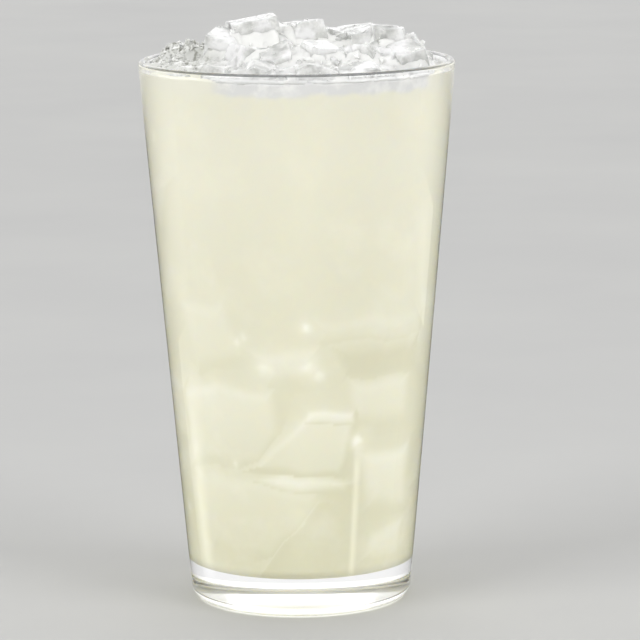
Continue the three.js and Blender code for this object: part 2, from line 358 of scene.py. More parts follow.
def mesh_object(name, vertices, faces, smooth=True):
    """New object from lists of vertices and faces."""
    mesh = bpy.data.meshes.new(name)
    mesh.from_pydata([tuple(v) for v in vertices], [], faces)
    mesh.update()
    mesh.polygons.foreach_set("use_smooth", [smooth] * len(mesh.polygons))
    obj = bpy.data.objects.new(name, mesh)
    bpy.context.scene.collection.objects.link(obj)
    return obj


def revolved(name, profile_at, sides):
    """Closed surface round +Z. The half section at each angle starts and ends on the axis."""
    angles = [2 * math.pi * i / sides for i in range(sides)]
    profiles = [profile_at(angle) for angle in angles]
    rings = len(profiles[0]) - 2
    vertices = [(0.0, 0.0, profiles[0][0][1])]
    for ring in range(1, rings + 1):
        for angle, profile in zip(angles, profiles):
            radius, z = profile[ring]
            vertices.append((radius * math.cos(angle), radius * math.sin(angle), z))
    vertices.append((0.0, 0.0, profiles[0][-1][1]))
    last = len(vertices) - 1
    top = 1 + (rings - 1) * sides
    faces = []
    for i in range(sides):
        j = (i + 1) % sides
        faces.append((0, 1 + j, 1 + i))
        for low in range(1, top, sides):
            faces.append((low + i, low + j, low + sides + j, low + sides + i))
        faces.append((top + i, top + j, last))
    return mesh_object(name, vertices, faces)


def remeshed(obj, voxel):
    """Replaces an object's mesh with an even one of small quads, and shades it smooth."""
    modifier = obj.modifiers.new("even", "REMESH")
    modifier.mode = "VOXEL"
    modifier.voxel_size = voxel
    modifier.use_smooth_shade = True
    evaluated = obj.evaluated_get(bpy.context.evaluated_depsgraph_get())
    mesh = bpy.data.meshes.new_from_object(evaluated)
    obj.modifiers.clear()
    obj.data = mesh


def push_in(obj, depth_at):
    """Moves each vertex inwards along its normal by a depth worked out from its place."""
    mesh = obj.data
    moved = [v.co - v.normal * depth_at(v.co) for v in mesh.vertices]
    for vertex, place in zip(mesh.vertices, moved):
        vertex.co = place
    mesh.update()


# Material helpers. A mix node's colour sockets share their names with its others, so go by number

MIX_COLOURS = (6, 7)
MIX_RESULT = 2


def new_material(name):
    """New node material, with its node tree and Principled shader."""
    material = bpy.data.materials.new(name)
    material.use_nodes = True
    tree = material.node_tree
    return material, tree, tree.nodes["Principled BSDF"]


def place_node(tree):
    """Object coordinates, which are the frame's own here."""
    return tree.nodes.new("ShaderNodeTexCoord").outputs["Object"]


def attribute_node(tree, name):
    """Number held in the mesh."""
    node = tree.nodes.new("ShaderNodeAttribute")
    node.attribute_name = name
    return node.outputs["Fac"]


def noise_node(tree, scale, detail=4.0, roughness=0.55):
    """Noise factor over object space, with a scale in features per metre."""
    node = tree.nodes.new("ShaderNodeTexNoise")
    node.inputs["Scale"].default_value = scale
    node.inputs["Detail"].default_value = detail
    node.inputs["Roughness"].default_value = roughness
    tree.links.new(place_node(tree), node.inputs["Vector"])
    return node.outputs["Fac"]


def range_node(tree, value, low, high, to_low, to_high):
    """Maps a value from one range to another, clamped."""
    node = tree.nodes.new("ShaderNodeMapRange")
    node.inputs["From Min"].default_value = low
    node.inputs["From Max"].default_value = high
    node.inputs["To Min"].default_value = to_low
    node.inputs["To Max"].default_value = to_high
    tree.links.new(value, node.inputs["Value"])
    return node.outputs["Result"]


def mix_node(tree, factor, first, second):
    """Mixes two colours, each a colour or a socket, by a factor socket."""
    node = tree.nodes.new("ShaderNodeMix")
    node.data_type = "RGBA"
    tree.links.new(factor, node.inputs["Factor"])
    for colour, index in zip((first, second), MIX_COLOURS):
        if isinstance(colour, tuple):
            node.inputs[index].default_value = (*colour, 1.0)
        else:
            tree.links.new(colour, node.inputs[index])
    return node.outputs[MIX_RESULT]


def multiply_add(tree, value, factor, addend):
    """A value socket times a factor, plus another socket."""
    node = tree.nodes.new("ShaderNodeMath")
    node.operation = "MULTIPLY_ADD"
    node.inputs[1].default_value = factor
    tree.links.new(value, node.inputs[0])
    tree.links.new(addend, node.inputs[2])
    return node.outputs["Value"]


def product_node(tree, first, second):
    """Product of two sockets."""
    node = tree.nodes.new("ShaderNodeMath")
    node.operation = "MULTIPLY"
    tree.links.new(first, node.inputs[0])
    tree.links.new(second, node.inputs[1])
    return node.outputs["Value"]


def bump_node(tree, height, strength, distance):
    """Bump from a height socket."""
    node = tree.nodes.new("ShaderNodeBump")
    node.inputs["Strength"].default_value = strength
    node.inputs["Distance"].default_value = distance
    tree.links.new(height, node.inputs["Height"])
    return node.outputs["Normal"]


# Materials

def glass_material(name, tint, roughness):
    """Soda-lime glass: clear, greyer on the rim where a dark line of shade is painted into its tint, or
    dulled by wear under the foot.
    """
    material, _, shader = new_material(name)
    shader.inputs["Base Color"].default_value = (*tint, 1.0)
    shader.inputs["Roughness"].default_value = roughness
    shader.inputs["IOR"].default_value = GLASS_IOR
    shader.inputs["Transmission Weight"].default_value = 1.0
    return material


def wet_ice_colour(tree):
    """Grey of wet crushed ice, mottled with paler patches."""
    patches = range_node(tree, noise_node(tree, 220.0, 3.0), 0.48, 0.66, 0.0, 1.0)
    return mix_node(tree, patches, BAND_GREY, BAND_PALE)


def drink_material():
    """Cloudy lemonade: light scatters in it, and sunk ice shows as faint paler and darker faces, their
    light and shade painted into its colour.
    """
    material, tree, shader = new_material("lemonade")
    sunk = attribute_node(tree, "sunk_ice")
    height = tree.nodes.new("ShaderNodeSeparateXYZ")
    tree.links.new(place_node(tree), height.inputs["Vector"])
    upward = range_node(tree, height.outputs["Z"], *DRINK_COLOUR_HEIGHTS, 0.0, 1.0)
    depth = mix_node(tree, upward, DRINK_LOW, DRINK_HIGH)
    clouds = range_node(tree, noise_node(tree, 60.0), 0.5, 0.7, 0.0, 0.5)
    cloudy = mix_node(tree, clouds, depth, DRINK_CLOUD)
    # Painted shade and light of the sunk ice, held in the mesh, darken and pale the drink's colour
    darker = mix_node(tree, range_node(tree, sunk, 0.0, SUNK_LIMITS[0], 0.0, 1.0), cloudy, DRINK_SHADE)
    paler = mix_node(tree, range_node(tree, sunk, 0.0, SUNK_LIMITS[1], 0.0, 1.0), darker, DRINK_LIGHT)
    banded = mix_node(tree, attribute_node(tree, "ice_band"), paler, wet_ice_colour(tree))
    tree.links.new(banded, shader.inputs["Base Color"])
    shader.inputs["Roughness"].default_value = 0.2
    shader.inputs["IOR"].default_value = DRINK_IOR
    shader.inputs["Specular IOR Level"].default_value = 0.0
    scattering = range_node(tree, attribute_node(tree, "wet_edge"), 0.0, 1.0, 1.0, 0.0)
    tree.links.new(scattering, shader.inputs["Subsurface Weight"])
    shader.inputs["Subsurface Radius"].default_value = (1.0, 0.9, 0.65)
    shader.inputs["Subsurface Scale"].default_value = DRINK_SCATTER
    return material


def ice_material():
    """Frosted broken ice: clearer in places, white with trapped air in others, with a painted highlight
    on its sharp edges.
    """
    material, tree, shader = new_material("ice")
    cloud = noise_node(tree, 150.0, 6.0)
    white = range_node(tree, cloud, 0.39, 0.59, 0.0, 1.0)
    frosted = mix_node(tree, white, ICE_CLEAR, ICE_WHITE)
    # Sharp edges, found by pointiness, are painted paler as a painted highlight
    pointed = tree.nodes.new("ShaderNodeNewGeometry").outputs["Pointiness"]
    edges = range_node(tree, pointed, 0.51, 0.56, 0.0, 1.0)
    tree.links.new(mix_node(tree, edges, frosted, ICE_EDGE_HIGHLIGHT), shader.inputs["Base Color"])
    tree.links.new(range_node(tree, cloud, 0.39, 0.59, 0.58, 0.08), shader.inputs["Transmission Weight"])
    melted = range_node(tree, noise_node(tree, 420.0), 0.3, 0.7, 0.06, 0.3)
    tree.links.new(melted, shader.inputs["Roughness"])
    tree.links.new(bump_node(tree, noise_node(tree, 900.0, 3.0), 0.25, 0.0003), shader.inputs["Normal"])
    shader.inputs["IOR"].default_value = ICE_IOR
    shader.inputs["Subsurface Weight"].default_value = 1.0
    shader.inputs["Subsurface Radius"].default_value = (1.0, 1.0, 1.0)
    shader.inputs["Subsurface Scale"].default_value = ICE_SCATTER
    return material


def crushed_material():
    """Crushed ice: greyer where it is wet at the wall, soaked with drink at the left of the glass, with
    painted shade in small pits there.
    """
    material, tree, shader = new_material("crushed_ice")
    place = tree.nodes.new("ShaderNodeSeparateXYZ")
    tree.links.new(place_node(tree), place.inputs["Vector"])
    patchy = multiply_add(tree, noise_node(tree, 130.0), DRY_PATCHES, place.outputs["Z"])
    dry = range_node(tree, patchy, *DRY_HEIGHTS, 0.0, 1.0)
    white = mix_node(tree, dry, wet_ice_colour(tree), CRUSHED_DRY)
    soaked = range_node(tree, place.outputs["X"], *SOAKED_FROM_X, 0.0, 1.0)
    slushy = mix_node(tree, soaked, white, CRUSHED_SOAKED)
    # Painted shade: dark specks of small pits in the soaked ice
    hollows = range_node(tree, noise_node(tree, 550.0, 2.0), 0.52, 0.64, 0.0, 0.8)
    pit_shade = product_node(tree, soaked, hollows)
    tree.links.new(mix_node(tree, pit_shade, slushy, PIT_SHADE_COLOUR), shader.inputs["Base Color"])
    clear = range_node(tree, noise_node(tree, 300.0), 0.35, 0.65, 0.06, 0.0)
    tree.links.new(clear, shader.inputs["Transmission Weight"])
    melted = range_node(tree, noise_node(tree, 600.0), 0.3, 0.7, 0.08, 0.3)
    tree.links.new(melted, shader.inputs["Roughness"])
    shader.inputs["IOR"].default_value = ICE_IOR
    shader.inputs["Subsurface Weight"].default_value = 1.0
    shader.inputs["Subsurface Radius"].default_value = (1.0, 1.0, 1.0)
    shader.inputs["Subsurface Scale"].default_value = CRUSHED_SCATTER
    return material


def floor_material():
    """Pale matt floor with a faint mottle, and a painted glow under the foot in place of the light that
    the glass gathers there.
    """
    material, tree, shader = new_material("pale_floor")
    mottle = range_node(tree, noise_node(tree, 6.0), 0.3, 0.7, 0.0, 1.0)
    tree.links.new(mix_node(tree, mottle, FLOOR_DARK, FLOOR_PALE), shader.inputs["Base Color"])
    shader.inputs["Roughness"].default_value = 0.9
    shader.inputs["Specular IOR Level"].default_value = 0.0
    distance = tree.nodes.new("ShaderNodeVectorMath")
    distance.operation = "LENGTH"
    tree.links.new(place_node(tree), distance.inputs[0])
    # Painted glow on the floor under the foot
    gathered = range_node(tree, distance.outputs["Value"], *GATHERED_RADII, 1.0, 0.0)
    shader.inputs["Emission Color"].default_value = GATHERED_COLOUR
    tree.links.new(gathered, shader.inputs["Emission Strength"])
    material.cycles.emission_sampling = "NONE"
    return material


# Tumbler

def make_glass():
    """The tumbler, with the slight waves of pressed glass on its inside wall."""
    section = glass_profile()
    glass = revolved("tumbler", lambda angle: section, GLASS_SIDES)
    for vertex in glass.data.vertices:
        radius = math.hypot(vertex.co.x, vertex.co.y)
        inside = radius < inner_radius(vertex.co.z) + LIP_WALL / 4
        if inside and FLOOR_HEIGHT + FLOOR_CORNER < vertex.co.z < HEIGHT - LIP_WALL:
            wave = noise.noise(vertex.co / GLASS_WAVE_LENGTH) * GLASS_WAVE
            vertex.co.x *= 1 + wave / radius
            vertex.co.y *= 1 + wave / radius
    glass.data.update()
    glass.data.materials.append(glass_material("clear_glass", (1.0, 1.0, 1.0), 0.0))
    glass.data.materials.append(glass_material("rim_shade_glass", RIM_SHADE_TINT, 0.0))
    glass.data.materials.append(glass_material("worn_glass", (1.0, 1.0, 1.0), WORN_ROUGHNESS))
    for face in glass.data.polygons:
        # The rim's cap takes the grey glass of painted shade
        if face.center.z > HEIGHT - RIM_CAP:
            face.material_index = 1
        elif face.normal.z < WORN_LEAN:
            face.material_index = 2
    glass.visible_shadow = False
    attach(glass, "root")
    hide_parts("glass")


# Drink

def smooth_step(value, low, high):
    """Eases from 0 to 1 as a value or array goes from low to high."""
    share = np.clip((value - low) / (high - low), 0.0, 1.0)
    return share * share * (3 - 2 * share)


def ring_noise(angle, height, scale):
    """Noise at an angle on a ring about the axis, so that it meets itself."""
    return noise.noise(Vector((math.cos(angle), math.sin(angle), height)) * scale)


def soak(angle):
    """Share by which the drink has soaked the ice at an angle about the axis."""
    ripple = SOAK_RIPPLE * ring_noise(angle, SOAK_SLICE, SOAK_RIPPLES)
    shares = []
    for stretch in SOAKED:
        nearness = math.cos(angle - math.radians(stretch["middle"])) + ripple
        shares.append(smooth_step(nearness, *stretch["edges"]))
    return float(max(shares))


def edge_level(angle):
    """Height of the drink's edge on the wall at an angle about the axis."""
    ripple = EDGE_RIPPLE * ring_noise(angle, EDGE_SLICE, EDGE_RIPPLES)
    return DRINK_LEVEL + WET_RISE + ripple + SOAK_RISE * soak(angle)


def drink_profile(angle):
    """Half section of the drink at an angle: inside of the tumbler, wet edge, level top."""
    side = inside_profile(DRINK_INTO_WALL, edge_level(angle), DRINK_ROWS)
    radius, height = side[-1]
    shares = np.linspace(0.0, 1.0, ARC_STEPS)[1:]
    slope = []
    for s in shares:
        fall = float(smooth_step(s, MENISCUS_LEVEL, 1.0))
        slope.append((radius - MENISCUS_WIDTH * s, height + (DRINK_LEVEL - height) * fall))
    return side + slope + [(0.0, DRINK_LEVEL)]


def random_sunk_faces(draw, count):
    """Faces of sunk ice away from the front, spread round and down the wall by a seeded draw."""
    faces = []
    for i in range(count):
        middle = SUNK_SIDES[0] + (SUNK_SIDES[1] - SUNK_SIDES[0]) * ((i * GOLDEN_SHARE) % 1.0)
        height = SUNK_HEIGHTS[0] + (SUNK_HEIGHTS[1] - SUNK_HEIGHTS[0]) * (i + 0.5) / count
        scale = draw.uniform(*SUNK_SCALES)
        tilt = draw.uniform(-SUNK_TILT, SUNK_TILT)
        corners = []
        for k in range(4):
            turn = math.radians(45 + 90 * k + tilt + draw.uniform(-SUNK_CORNER_TURN, SUNK_CORNER_TURN))
            reach = scale * draw.uniform(*SUNK_CORNER_REACH)
            across = SUNK_HALF_WIDTH * reach * math.cos(turn)
            upward = SUNK_HALF_HEIGHT * reach * math.sin(turn)
            corners.append((middle + across, height + upward))
        depth = draw.uniform(*SUNK_DEPTHS)
        tone = draw.uniform(*SUNK_TONES)
        faces.append({"corners": corners[::-1], "depth": depth, "tone": tone})
    return faces


def face_insets(corners, across, upward):
    """How far inside a face's edges each place is, and the painted light and shade of the slope at its
    nearest edge.
    """
    inset = np.full(len(across), np.inf)
    slope_shade = np.zeros(len(across))
    for (x0, z0), (x1, z1) in zip(corners, corners[1:] + corners[:1]):
        length = math.hypot(x1 - x0, z1 - z0)
        normal = ((z1 - z0) / length, -(x1 - x0) / length)
        distance = (across - x0) * normal[0] + (upward - z0) * normal[1]
        edge_shade = SLOPE_LIGHT_AND_SHADE[0] * normal[0] + SLOPE_LIGHT_AND_SHADE[1] * normal[1]
        slope_shade = np.where(distance < inset, edge_shade, slope_shade)
        inset = np.minimum(inset, distance)
    return inset, slope_shade


def sunk_shade(places):
    """Painted light and shade of sunk ice on the wall of the drink: how much paler or darker each place
    is painted.
    """
    wobble = np.array([noise.noise_vector(Vector(place) / SUNK_WOBBLE_LENGTH) for place in places])
    places = places + SUNK_WOBBLE * wobble
    degrees = np.degrees(np.arctan2(places[:, 0], -places[:, 1]))
    heights = places[:, 2]
    nearest = np.full(len(places), np.inf)
    shade = np.zeros(len(places))
    for face in SUNK_FRONT + tuple(random_sunk_faces(random.Random(SUNK_SEED), SUNK_COUNT)):
        middle = sum(corner[0] for corner in face["corners"]) / len(face["corners"])
        height = sum(corner[1] for corner in face["corners"]) / len(face["corners"]) / 1000
        scale = math.radians(1.0) * inner_radius(height)
        across = ((degrees - middle + 180) % 360 - 180) * scale
        upward = heights - height
        corners = [((c[0] - middle) * scale, c[1] / 1000 - height) for c in face["corners"]]
        inset, slope_shade = face_insets(corners, across, upward)
        depth = face["depth"] / 1000 + SUNK_BEVEL * np.maximum(0.0, -inset)
        blur = SUNK_BLUR + SUNK_BLUR_GROWTH * face["depth"] / 1000
        face_share = smooth_step(inset, -blur, blur)
        # Painted light: faces paler towards their tops; painted highlight: a pale line inside lit edges
        lean = 1.0 + SUNK_LEAN * np.clip(upward / SUNK_LEAN_HEIGHT, -1.0, 1.0)
        width = SUNK_LINE * (1.0 + face["depth"])
        line = np.exp(-((inset - width) / width) ** 2) * np.clip(slope_shade, 0.0, 1.0)
        tone = face["tone"] * lean * face_share + slope_shade * (1.0 - face_share) + SUNK_HIGHLIGHT_TONE * line
        here = np.exp(-depth / SUNK_FADE) * tone
        shade = np.where(depth < nearest, here, shade)
        nearest = np.minimum(nearest, depth)
    return shade


def speck_highlights(places):
    """Painted highlights: soft bright specks where small bubbles sit behind the wall."""
    draw = random.Random(SPECK_SEED)
    specks = [(math.radians(a), z / 1000, r / 1000, bright) for a, z, r, bright in SPECKS_FRONT]
    for _ in range(SPECK_COUNT):
        height = SPECK_LOWEST + SPECK_SPREAD * draw.random()
        angle = math.radians(draw.uniform(*SPECK_SIDES))
        specks.append((angle, height, draw.uniform(*SPECK_SIZES), 1.0))
    wobble = np.array([noise.noise_vector(Vector(place) / SPECK_WOBBLE_LENGTH) for place in places])
    places = places + SPECK_WOBBLE * wobble
    shade = np.zeros(len(places))
    # Each speck is a painted highlight, a bright core with a halo
    for angle, height, radius, bright in specks:
        reach = inner_radius(height)
        middle = np.array((reach * math.sin(angle), -reach * math.cos(angle), height))
        distance = np.linalg.norm(places - middle, axis=1)
        core = np.exp(-(distance / radius) ** 2)
        halo = np.exp(-(distance / (SPECK_HALO_SIZE * radius)) ** 2)
        shade = np.maximum(shade, bright * (SPECK_CORE * core + SPECK_HALO * halo))
    return shade


def band_shade(places):
    """Share of wet edge at each place, and of ice that shows there, in blotches where it is soaked."""
    wet, icy = [], []
    broad, narrow = BAND_RIPPLE_LENGTHS
    for place in places:
        ripple = noise.noise(Vector(place) / broad) + 0.5 * noise.noise(Vector(place) / narrow)
        middle = DRINK_LEVEL + BAND_RIPPLE * ripple
        edge = float(smooth_step(place[2], middle - BAND_DEPTH / 2, middle + BAND_DEPTH / 2))
        blotch = float(smooth_step(ripple, *BLOTCH_EDGES))
        hidden = soak(math.atan2(place[1], place[0])) * (1 - BLOTCH_SHARE * blotch)
        wet.append(edge)
        icy.append(edge * (1 - hidden))
    return wet, icy


def hold(obj, name, values):
    """Holds a number for each vertex in an object's mesh."""
    obj.data.attributes.new(name, "FLOAT", "POINT").data.foreach_set("value", values)


def make_drink():
    """The cloudy drink, just into the wall, with the faint look of ice sunk in it, its light and shade
    painted on.
    """
    drink = revolved("lemonade_fill", drink_profile, DRINK_SIDES)
    places = np.array([v.co[:] for v in drink.data.vertices])
    wet, icy = band_shade(places)
    # Painted light and shade of sunk ice and painted glints of bubbles, held for the drink's colour
    hold(drink, "sunk_ice", np.clip(sunk_shade(places) + speck_highlights(places), *SUNK_LIMITS))
    hold(drink, "wet_edge", wet)
    hold(drink, "ice_band", icy)
    drink.data.materials.append(drink_material())
    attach(drink, "root")
    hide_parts("lemonade")


# Broken ice

def fracture_depth(place):
    """Depth of the hollows and ripples that melting leaves on a broken face."""
    hollow = noise.noise(place / HOLLOW_LENGTH) * 0.5 + 0.5
    ripple = abs(noise.noise(place / RIPPLE_LENGTH))
    grain = noise.noise(place / GRAIN_LENGTH) * 0.5 + 0.5
    return HOLLOW_DEPTH * hollow + RIPPLE_DEPTH * ripple + GRAIN_DEPTH * grain


def any_direction(draw):
    """Direction drawn evenly, of any length."""
    return Vector((draw.gauss(0, 1), draw.gauss(0, 1), draw.gauss(0, 1)))


def chip_faces(obj, draw, kept):
    """Breaks flat faces off a convex piece, leaving a share of its reach in each direction."""
    places = np.array([v.co[:] for v in obj.data.vertices])
    middle = (places.min(axis=0) + places.max(axis=0)) / 2
    for _ in range(CHIPPED_FACES):
        normal = np.array(any_direction(draw).normalized())
        reach = (places - middle) @ normal
        beyond = np.maximum(0.0, reach - reach.max() * draw.uniform(*kept))
        places -= beyond[:, None] * normal
    obj.data.vertices.foreach_set("co", places.ravel())
    obj.data.update()


def make_ice(node, material):
    """One large piece: its solid with faces broken off, worn edges, hollows and ripples."""
    name = node.replace("ice_", "ice_piece_")
    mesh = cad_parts[node].data.copy()
    mesh.name = name
    piece = bpy.data.objects.new(name, mesh)
    bpy.context.scene.collection.objects.link(piece)
    solid = bmesh.new()
    solid.from_mesh(mesh)
    bmesh.ops.remove_doubles(solid, verts=solid.verts, dist=ICE_WELD)
    bmesh.ops.dissolve_limit(solid, angle_limit=ICE_FLAT_ANGLE, verts=solid.verts, edges=solid.edges)
    edges = solid.edges[:]
    bmesh.ops.bevel(solid, geom=edges, offset=ICE_BEVEL, segments=2, affect="EDGES", clamp_overlap=True)
    solid.to_mesh(mesh)
    solid.free()
    remeshed(piece, ICE_VOXEL)
    chip_faces(piece, random.Random(node), OUTLINE_KEPT if node in OUTLINE_ICE else INNER_KEPT)
    push_in(piece, fracture_depth)
    piece.data.materials.clear()
    piece.data.materials.append(material)
    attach(piece, "root")
    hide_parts(node)


# Crushed ice

def chip_corners(draw):
    """Corners of a small rounded chip, about one unit across."""
    stretch = Vector([draw.uniform(*limits) for limits in CHIP_STRETCH])
    corners = []
    for _ in range(CHIP_CORNERS):
        corners.append(any_direction(draw).normalized() * stretch / 2)
    return corners


def shard_corners(draw):
    """Corners of an uneven broken block, about one unit across."""
    half = Vector([draw.uniform(*limits) for limits in SHARD_HALVES])
    corners = []
    for signs in itertools.product((-1, 1), repeat=3):
        reach = [sign * side * draw.uniform(*SHARD_CORNER_REACH) for sign, side in zip(signs, half)]
        corners.append(Vector(reach))
    return corners


def chip_shape(corners):
    """Vertices and triangles of the hull of a chip's corners."""
    chip = bmesh.new()
    for corner in corners:
        chip.verts.new(corner)
    bmesh.ops.convex_hull(chip, input=chip.verts)
    bmesh.ops.triangulate(chip, faces=chip.faces)
    bmesh.ops.recalc_face_normals(chip, faces=chip.faces)
    chip.verts.index_update()
    vertices = np.array([v.co[:] for v in chip.verts])
    triangles = np.array([[v.index for v in face.verts] for face in chip.faces])
    chip.free()
    return vertices, triangles


def heap_heights():
    """Grid of heights of the top of the ice's solids across the glass."""
    vertices, faces = [], []
    for node in ICE_NODES + ["crushed_ice"]:
        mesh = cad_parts[node].data
        start = len(vertices)
        vertices += [v.co for v in mesh.vertices]
        faces += [[start + i for i in p.vertices] for p in mesh.polygons]
    tree = BVHTree.FromPolygons(vertices, faces)
    places = np.arange(-RIM_RADIUS, RIM_RADIUS + HEAP_STEP, HEAP_STEP)
    heights = np.full((len(places), len(places)), DRINK_LEVEL)
    for i, x in enumerate(places):
        for j, y in enumerate(places):
            hit = tree.ray_cast(Vector((x, y, HEAP_SEEN_FROM)), Vector((0.0, 0.0, -1.0)))[0]
            if hit:
                heights[i, j] = hit.z
    return heights


def windows(grid, span):
    """Square of cells round each cell of a grid."""
    padded = np.pad(grid, span // 2, mode="edge")
    return np.lib.stride_tricks.sliding_window_view(padded, (span, span))


def packed_heights(heights):
    """Heights of crushed ice that fills the gaps narrower than the span, a little below the pieces."""
    raised = windows(heights, HEAP_SPAN).max(axis=(2, 3))
    filled = windows(raised, HEAP_SPAN).min(axis=(2, 3))
    return windows(filled, SMOOTH_SPAN).mean(axis=(2, 3)) - PACKED_BELOW


def grid_height(grid, x, y):
    """Height of a grid at a place, between its four nearest cells."""
    i, j = (x + RIM_RADIUS) / HEAP_STEP, (y + RIM_RADIUS) / HEAP_STEP
    i0, j0 = int(i), int(j)
    u, v = i - i0, j - j0
    low = grid[i0, j0] * (1 - u) + grid[i0 + 1, j0] * u
    high = grid[i0, j0 + 1] * (1 - u) + grid[i0 + 1, j0 + 1] * u
    return low * (1 - v) + high * v


def face_relief(x, y):
    """Rise of the tilted faces of crushed ice at a place, one face to each cell."""
    place = Vector((x, y, 0.0)) / FACE_SIZE
    middle = noise.voronoi(place)[1][0]
    tilt = noise.noise_vector(middle * FACE_SPREAD)
    return FACE_RISE * (tilt.xy.dot((place - middle).xy) * FACE_TILT + FACE_LIFT * tilt.z)


def mound_rise(x, y):
    """Height that the mounds add to the packed ice at a place."""
    rise = 0.0
    for mound in MOUNDS:
        inside = mound["radius"] - (Vector((x, y)) - mound["middle"]).length
        rise += mound["rise"] * float(smooth_step(inside, 0.0, mound["radius"]))
    return rise


def slush_height(packed, x, y):
    """Height of the packed ice at a place, raised into the mounds and up to its edge at the wall."""
    reach = math.hypot(x, y)
    near_wall = float(smooth_step(reach, PACKED_EDGE_RADIUS - PACKED_EDGE_WIDTH, PACKED_EDGE_RADIUS))
    shelf = DRINK_LEVEL + (PACKED_EDGE - DRINK_LEVEL) * near_wall
    height = max(grid_height(packed, x, y) + mound_rise(x, y), shelf)
    inward = float(smooth_step(reach, inner_radius(PACKED_EDGE), PACKED_EDGE_RADIUS))
    fine = PACKED_ROUGHNESS * noise.noise(Vector((x, y, height)) / PACKED_ROUGHNESS_LENGTH)
    face_share = FACE_SHARE_AT_WALL + (1 - FACE_SHARE_AT_WALL) * inward
    return height + face_share * face_relief(x, y) + fine


def make_slush(packed, material):
    """Crushed ice packed round the pieces, from below the drink's surface to the wall above its edge."""
    def section(angle):
        """Half section of the packed ice at an angle."""
        across, along = math.cos(angle), math.sin(angle)
        edge = inner_radius(PACKED_EDGE) - PACKED_GRAIN
        top = slush_height(packed, edge * across, edge * along)
        points = [(0.0, PACKED_UNDERSIDE)]
        for height in np.linspace(PACKED_UNDERSIDE, top, PACKED_WALL_ROWS)[:-1]:
            radius = inner_radius(height)
            if height < edge_level(angle) - PACKED_GRAIN:
                points.append((radius - 2 * PACKED_GRAIN, height))
            else:
                points.append((radius + PACKED_INTO_WALL, height))
        for radius in np.linspace(edge, 0.0, PACKED_RINGS):
            points.append((float(radius), slush_height(packed, radius * across, radius * along)))
        return points

    slush = revolved("ice_slush", section, PACKED_SIDES)
    slush.data.materials.append(material)
    return slush


def bed_places(draw, packed, heights, count):
    """Places on the packed ice where no large piece covers it, off the granular mound."""
    found = 0
    while found < count:
        radius = inner_radius(PACKED_EDGE) * math.sqrt(draw.random())
        angle = draw.uniform(0, 2 * math.pi)
        x, y = radius * math.cos(angle), radius * math.sin(angle)
        height = slush_height(packed, x, y)
        if x > GRANULAR_RIGHT and height > grid_height(heights, x, y) - PACKED_BELOW:
            found += 1
            yield Vector((x, y, height))


def mound_places(draw, packed):
    """Places over the granular mound at the left."""
    for _ in range(MOUND_CHIPS):
        reach = GRANULAR["radius"] * math.sqrt(draw.random())
        turn = draw.uniform(0, 2 * math.pi)
        place = GRANULAR["middle"] + reach * Vector((math.cos(turn), math.sin(turn)))
        place *= min(1.0, inner_radius(PACKED_EDGE) / place.length)
        yield Vector((place.x, place.y, slush_height(packed, place.x, place.y)))


def edge_places(draw):
    """Places against the wall, between the edge of the drink and that of the packed ice."""
    for _ in range(EDGE_CHIPS):
        angle = draw.uniform(0, 2 * math.pi)
        height = draw.uniform(edge_level(angle), PACKED_EDGE)
        radius = inner_radius(height)
        yield Vector((radius * math.cos(angle), radius * math.sin(angle), height))


def placed_chip(place, ceiling, draw, shapes, sizes):
    """Corners and triangles of one chip, more often small, within the wall and under a ceiling."""
    size = sizes[0] + (sizes[1] - sizes[0]) * draw.random() ** 2
    shape, triangles = draw.choice(shapes)
    axis = any_direction(draw)
    turn = np.array(Matrix.Rotation(draw.uniform(0, 2 * math.pi), 3, axis))
    corners = shape @ turn.T * size + np.array(place)
    reach = np.hypot(corners[:, 0], corners[:, 1]) - [inner_radius(z) for z in corners[:, 2]]
    outward = np.array(place.xy.normalized()[:] + (0.0,))
    corners -= outward * max(0.0, reach.max() + DRINK_INTO_WALL)
    above = [z - grid_height(ceiling, x, y) for x, y, z in corners]
    corners[:, 2] -= max(0.0, max(above))
    return corners, triangles


def make_chips(name, groups, draw, shapes, sizes):
    """Chips of mixed sizes and turns as one mesh. Each group is places and the ceiling over them."""
    vertices, triangles, total = [], [], 0
    for places, ceiling in groups:
        for place in places:
            corners, faces = placed_chip(place, ceiling, draw, shapes, sizes)
            vertices.append(corners)
            triangles.append(faces + total)
            total += len(corners)
    return mesh_object(name, np.concatenate(vertices), np.concatenate(triangles).tolist(), smooth=False)


def make_shards(packed, heights, ceiling, material):
    """Broken pieces of middle size between the large ones, run together where they touch."""
    draw = random.Random(SHARD_SEED)
    shapes = [chip_shape(shard_corners(draw)) for _ in range(CHIP_SHAPES)]
    places = bed_places(draw, packed, heights, SHARD_COUNT)
    shards = make_chips("ice_shards", [(places, ceiling)], draw, shapes, SHARD_SIZES)
    remeshed(shards, SHARD_VOXEL)
    push_in(shards, fracture_depth)
    shards.data.materials.append(material)
    return shards


def make_crushed_ice(broken_ice):
    """Packed crushed ice between the pieces, with shards and chips over it and chips at the wall."""
    material = crushed_material()
    heights = heap_heights()
    packed = packed_heights(heights)
    ceiling = windows(heights, CEILING_SPAN).max(axis=(2, 3))
    raised = ceiling + GRANULAR["rise"]
    draw = random.Random(CHIP_SEED)
    shapes = [chip_shape(chip_corners(draw)) for _ in range(CHIP_SHAPES)]
    slush = make_slush(packed, material)
    shards = make_shards(packed, heights, ceiling, broken_ice)
    groups = [
        (bed_places(draw, packed, heights, BED_CHIPS), ceiling),
        (mound_places(draw, packed), raised),
        (edge_places(draw), raised),
    ]
    chips = make_chips("ice_chips", groups, draw, shapes, CHIP_SIZES)
    chips.data.materials.append(material)
    for piece in (slush, shards, chips):
        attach(piece, "root")
        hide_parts("crushed_ice")


# Studio

def aimed(obj, place, target):
    """Puts an object at a place with its -Z axis towards a target."""
    obj.location = place
    obj.rotation_euler = (Vector(target) - Vector(place)).to_track_quat("-Z", "Y").to_euler()


